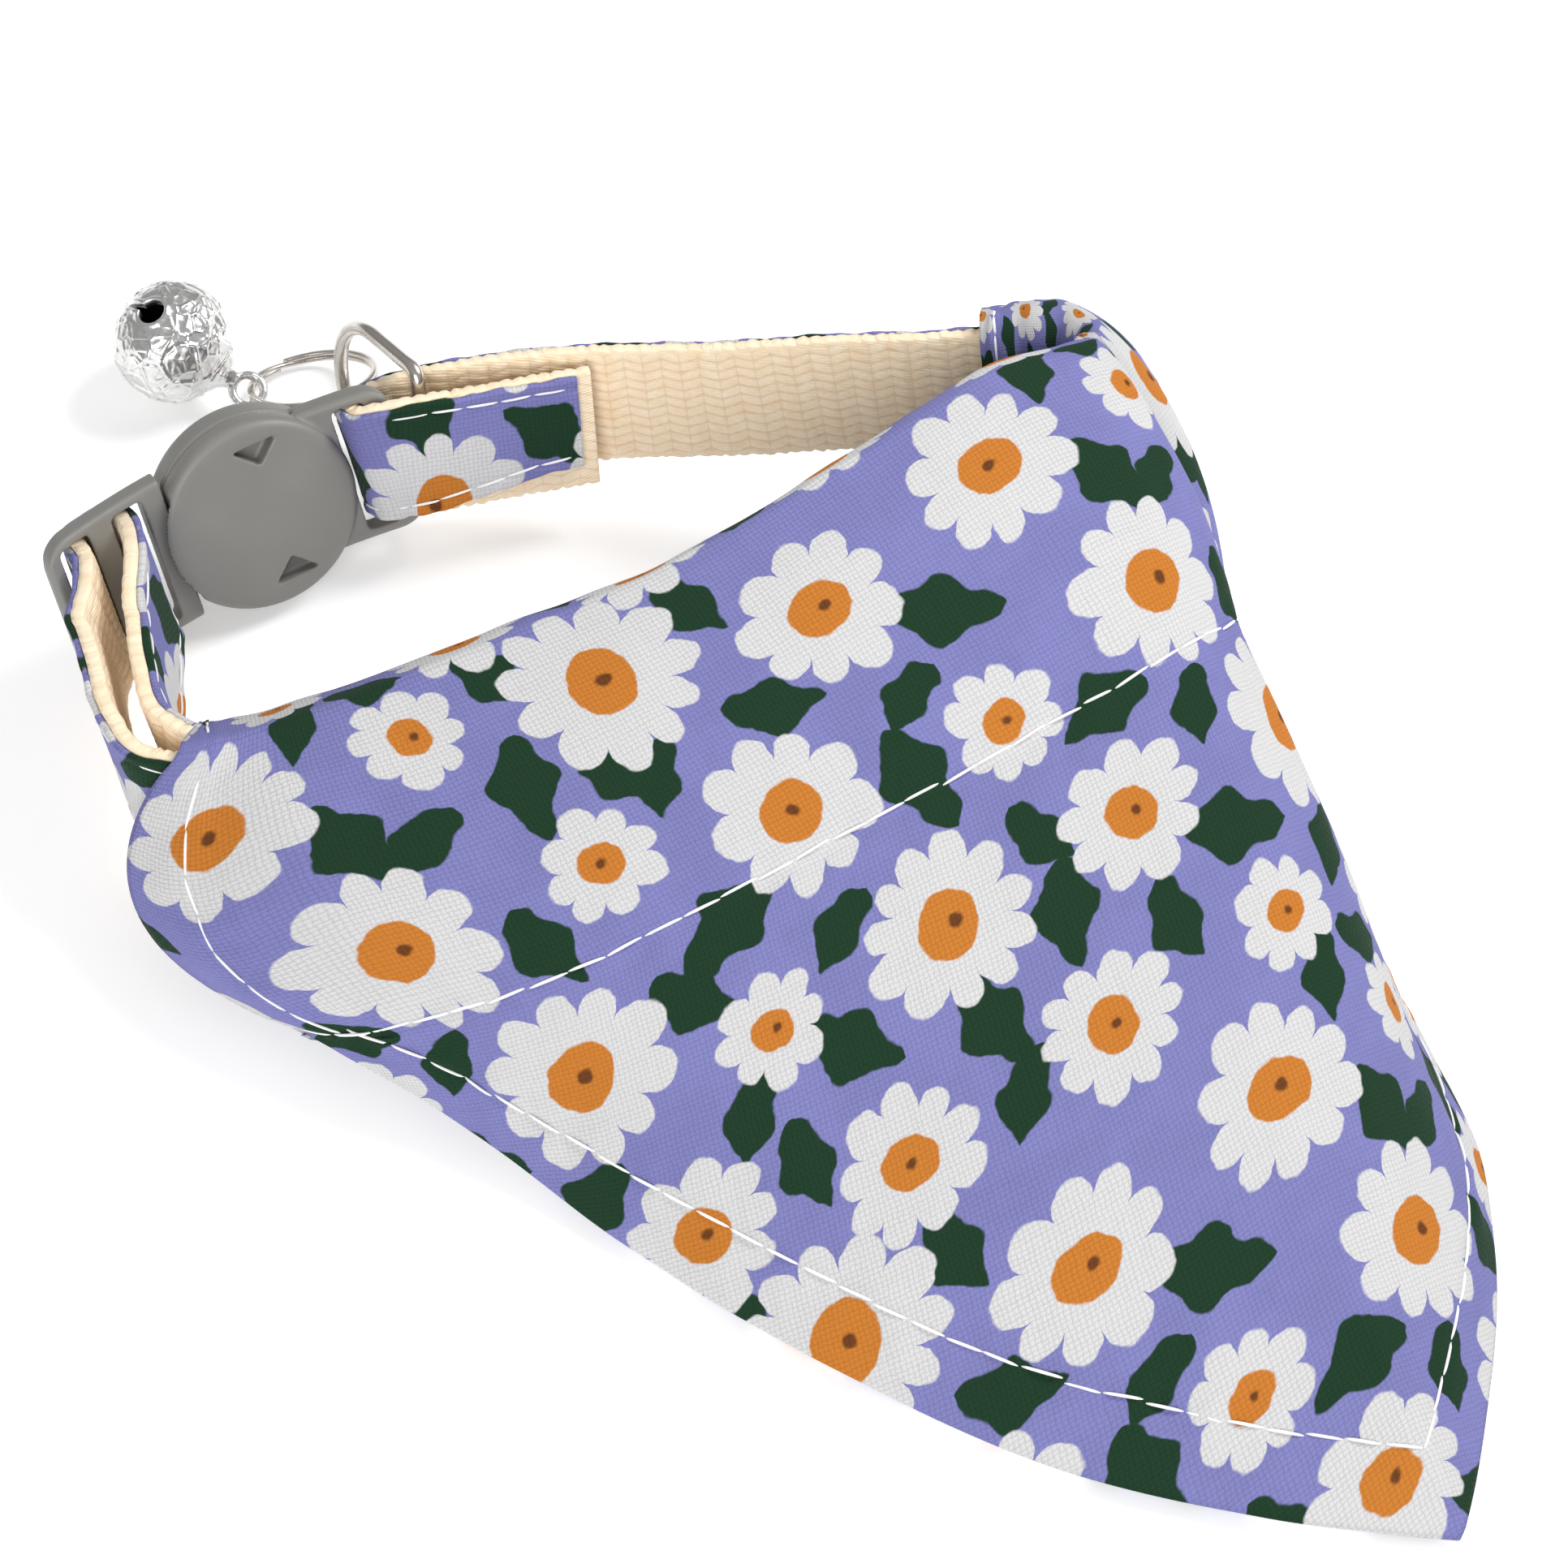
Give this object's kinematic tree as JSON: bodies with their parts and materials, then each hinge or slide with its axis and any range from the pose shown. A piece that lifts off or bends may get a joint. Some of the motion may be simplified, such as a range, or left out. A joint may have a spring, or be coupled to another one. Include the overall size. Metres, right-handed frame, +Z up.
{
  "type": "pet bandana collar",
  "caption": "Small buckled pet collar threaded through the sleeve of a floral cotton bandana, with a slit bell on a ring; worn round the neck, shown lying fastened.",
  "frame": {"origin": "under the middle of the collar's bounding box, on the plane it lies on", "axes": "+Z up from the plane it lies on, +Y from the bandana's point towards the buckle side, +X to the right seen from the point of the bandana"},
  "size_m": [0.1066, 0.11, 0.0252],
  "materials": {
    "buckle_housing": "satin warm grey moulding",
    "buckle_insert": "satin warm grey moulding",
    "d_ring": "polished nickel wire",
    "split_ring": "polished nickel wire",
    "bell": "bright silver plate",
    "strap_webbing": "cream herringbone webbing",
    "strap_facing": "lavender cotton printed with white daisies and green leaves",
    "bandana": "lavender cotton printed with white daisies and green leaves"
  },
  "bodies": {
    "root": {"buckle_housing": "buckle_housing", "buckle_insert": "buckle_insert", "d_ring": "d_ring", "split_ring": "split_ring", "bell": "bell", "strap_webbing": "strap_webbing", "strap_facing": "strap_facing", "bandana": "bandana"}
  },
  "joints": []
}
